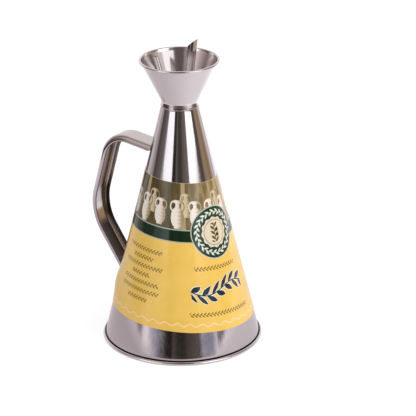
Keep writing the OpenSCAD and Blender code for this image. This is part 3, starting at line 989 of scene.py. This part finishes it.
def table_top():
    """White table. Light falls on it plainly, and mirrors see a white board that ends. To
    mirrors the board glows with painted light, lighter on one side and towards its far edge.
    """
    material, tree = new_material("table_white")
    path = add(tree, "LightPath")
    place = add(tree, "TexCoord").outputs["Object"]
    turned_place = add(tree, "VectorRotate", place, Angle=-PHOTO_SIDE, rotation_type="Z_AXIS")
    front, side, _ = add(tree, "SeparateXYZ", turned_place).outputs
    far = add(tree, "VectorMath", place, operation="LENGTH").outputs["Value"]
    # To mirrors the board glows with painted light: lighter on one side, and brighter towards its far
    # edge.
    side_light = add(tree, "MixRGB", stepped(tree, side, -0.16, 0.16), "#D6CDD2", "#FBF5F8")
    edge_glow = add(tree, "MapRange", far, 0.2, 0.42, 1.0, 1.45)
    ends = add(tree, "Math", front, BOARD_FRONT, operation="LESS_THAN")
    board = add(tree, "Emission", side_light, edge_glow)
    in_board = both(tree, ends, sized(tree, side, BOARD_SIDE))
    mirrored = add(tree, "MixShader", in_board, add(tree, "BsdfTransparent"), board)
    lit = add(tree, "BsdfDiffuse", "#F0EEEE")
    paper = add(tree, "AddShader", add(tree, "Emission", "#FFFFFF", 0.8),
                add(tree, "BsdfDiffuse", "#909090"))
    solid = add(tree, "MixShader", path.outputs["Is Camera Ray"], lit, paper)
    surface = add(tree, "MixShader", path.outputs["Is Glossy Ray"], solid, mirrored)
    add(tree, "OutputMaterial", surface)
    return material


TABLE_HALF = 1500
bpy.ops.mesh.primitive_circle_add(vertices=96, radius=TABLE_HALF * MM, fill_type="NGON")
table = bpy.context.object
table.name = "table"
table.data.materials.append(table_top())

# %% The room as mirrors see it
# A wall colour stands at an angle round the tin, where 0 is towards the camera. A panel has its
# left, right, low and high edge in degrees, its colour, and how soft its sides and its top are.
EYE_LEVEL = [(-127, "#FAF4F8"), (-116, "#D0CAC6"), (-107, "#BDB5B2"), (-102, "#A89F9C"),
             (-97, "#5C514D"), (-90, "#6A605D"), (-80, "#797070"), (-68, "#867D7E"),
             (-62, "#A6A0A0"), (-24, "#38332F"), (-18, "#38332F"), (-14, "#807773"),
             (-8, "#4F5049"), (2, "#4C4B43"), (8, "#746D5F"), (15, "#817771"), (24, "#8E8682"),
             (62, "#817975"), (67, "#70665F"), (79, "#695A4D"), (87, "#AFA594"),
             (98, "#BFA57E"), (110, "#A78A65"), (118, "#D6C0B1"), (127, "#FFFFFF")]
OVERHEAD = [(-160, "#FFFAFA"), (-130, "#D9D2D3"), (-118, "#D3C4C1"), (-106, "#98847D"),
            (-98, "#8C7C76"), (-91, "#A3948F"), (-75, "#C8B9B4"), (-66, "#E4D4D0"),
            (-60, "#F0DEDD"), (-47, "#D9CDC4"), (-38, "#9D9193"), (-25, "#7B706E"),
            (-22, "#AFA3A0"), (-19, "#AFA3A0"), (-16, "#685D5B"), (10, "#685D5B"),
            (16, "#847876"), (60, "#E6DDDA"), (70, "#E6DDDA"), (80, "#C4BCB7"),
            (93, "#A4958F"), (101, "#6F635E"), (106, "#7A6E69"), (113, "#C8BBB7"),
            (125, "#D9D2D3"), (160, "#FFFAFA")]
FLOOR_LEVEL = [(-130, "#D8CFD2"), (-114, "#453A39"), (-88, "#3A302F"), (-76, "#4A4140"),
               (-68, "#7A706F"), (-60, "#DCCFCE"), (-44, "#E6D8D5"), (-34, "#8F7C74"),
               (-21, "#73655C"), (4, "#61554D"), (18, "#766A67"), (28, "#B8A9A9"),
               (41, "#E0D2D4"), (55, "#FFFAFA"), (69, "#FFF4F8"), (80, "#B0A4A0"),
               (88, "#7A6F66"), (99, "#635850"), (116, "#75685D"), (130, "#D8CFD2")]
PANELS = [
    (28, 57, -4, 2.5, "#A6A6BA", 3.0, 3.0),
    (-50, -36, -4, 2.5, "#A6A6BC", 4.0, 4.0),
    (-66, -55, -9, 1.0, (1.15, 1.12, 1.13, 1.0), 4.0, 4.0),
    (-62, -40, -9, -0.3, (1.35, 1.32, 1.35, 1.0), 3.0, 0.2),
    (47, 54, -9, -0.45, (1.4, 1.36, 1.37, 1.0), 1.0, 0.2),
    (-61, -28.5, 2.7, 22, (1.85, 1.93, 1.95, 1.0), 1.5, 1.5),
    (28, 66, 2.7, 20, (2.3, 2.3, 2.3, 1.0), 1.5, 1.5),
    (19, 58, 20, 46, (1.35, 1.33, 1.34, 1.0), 1.5, 1.5),
]
OVERHEAD_FROM, FLOOR_FROM = (8.5, 11), (-8, -10.5)


def panel(tree, side, height, left, right, low, high, soft, top_soft):
    """Where one panel stands, by its angles left and right and above the horizon."""
    edges = [stepped(tree, side, left - soft, left + soft),
             stepped(tree, side, right + soft, right - soft),
             stepped(tree, height, low - 0.25, low + 0.25),
             stepped(tree, height, high + top_soft, high - top_soft)]
    return both(tree, *edges)


def room():
    """World: white for the camera, plain soft light for colours, and the room for mirrors."""
    world = bpy.data.worlds.new("studio")
    world.use_nodes = True
    bpy.context.scene.world = world
    tree = world.node_tree
    tree.nodes.clear()
    way = add(tree, "TexCoord").outputs["Generated"]
    turned_way = add(tree, "VectorRotate", way, Angle=-PHOTO_SIDE, rotation_type="Z_AXIS")
    x, y, z = add(tree, "SeparateXYZ", turned_way).outputs
    side = add(tree, "Math", add(tree, "Math", y, x, operation="ARCTAN2"), operation="DEGREES")
    height = add(tree, "Math", add(tree, "Math", z, operation="ARCSINE"), operation="DEGREES")
    eye_level, overhead, floor_level = (colour_ramp(tree, side, stops, -180.0, 180.0)
                                        for stops in (EYE_LEVEL, OVERHEAD, FLOOR_LEVEL))
    colour = add(tree, "MixRGB", stepped(tree, height, *OVERHEAD_FROM), eye_level, overhead)
    middle = both(tree, stepped(tree, side, -30, -20), stepped(tree, side, 34, 24))
    floor_shade = both(tree, middle, stepped(tree, height, 4.5, 2.5))
    colour = add(tree, "MixRGB", floor_shade, colour, "#BFB8B6", blend_type="MULTIPLY")
    colour = add(tree, "MixRGB", stepped(tree, height, *FLOOR_FROM), colour, floor_level)
    for *edges, tint, soft, top_soft in PANELS:
        where = panel(tree, side, height, *edges, soft, top_soft)
        colour = add(tree, "MixRGB", where, colour, tint)
    path = add(tree, "LightPath")
    soft_light = add(tree, "MixRGB", stepped(tree, side, -120, 90), "#DCDCE2", "#FBF8F4")
    dim = add(tree, "Background", soft_light, 0.95)
    mirror = add(tree, "Background", colour, 1.0)
    white = add(tree, "Background", "#FFFFFF", 1.0)
    lit = add(tree, "MixShader", path.outputs["Is Glossy Ray"], dim, mirror)
    seen = add(tree, "MixShader", path.outputs["Is Camera Ray"], lit, white)
    add(tree, "OutputWorld", seen)


room()

# %% Lamp
LAMP_SIDE, LAMP_FAR, LAMP_HIGH, LAMP_AIM = 55, 1.1, 1.25, 0.1
lamp_data = bpy.data.lights.new("key_panel", "AREA")
lamp_data.energy, lamp_data.size = 11.0, 1.0
lamp = bpy.data.objects.new("key_panel", lamp_data)
bpy.context.scene.collection.objects.link(lamp)
lamp_side = PHOTO_SIDE + radians(LAMP_SIDE)
lamp.location = (LAMP_FAR * cos(lamp_side), LAMP_FAR * sin(lamp_side), LAMP_HIGH)
to_tin = Vector((0, 0, LAMP_AIM)) - lamp.location
lamp.rotation_euler = to_tin.to_track_quat("-Z", "Y").to_euler()
lamp.visible_glossy = False
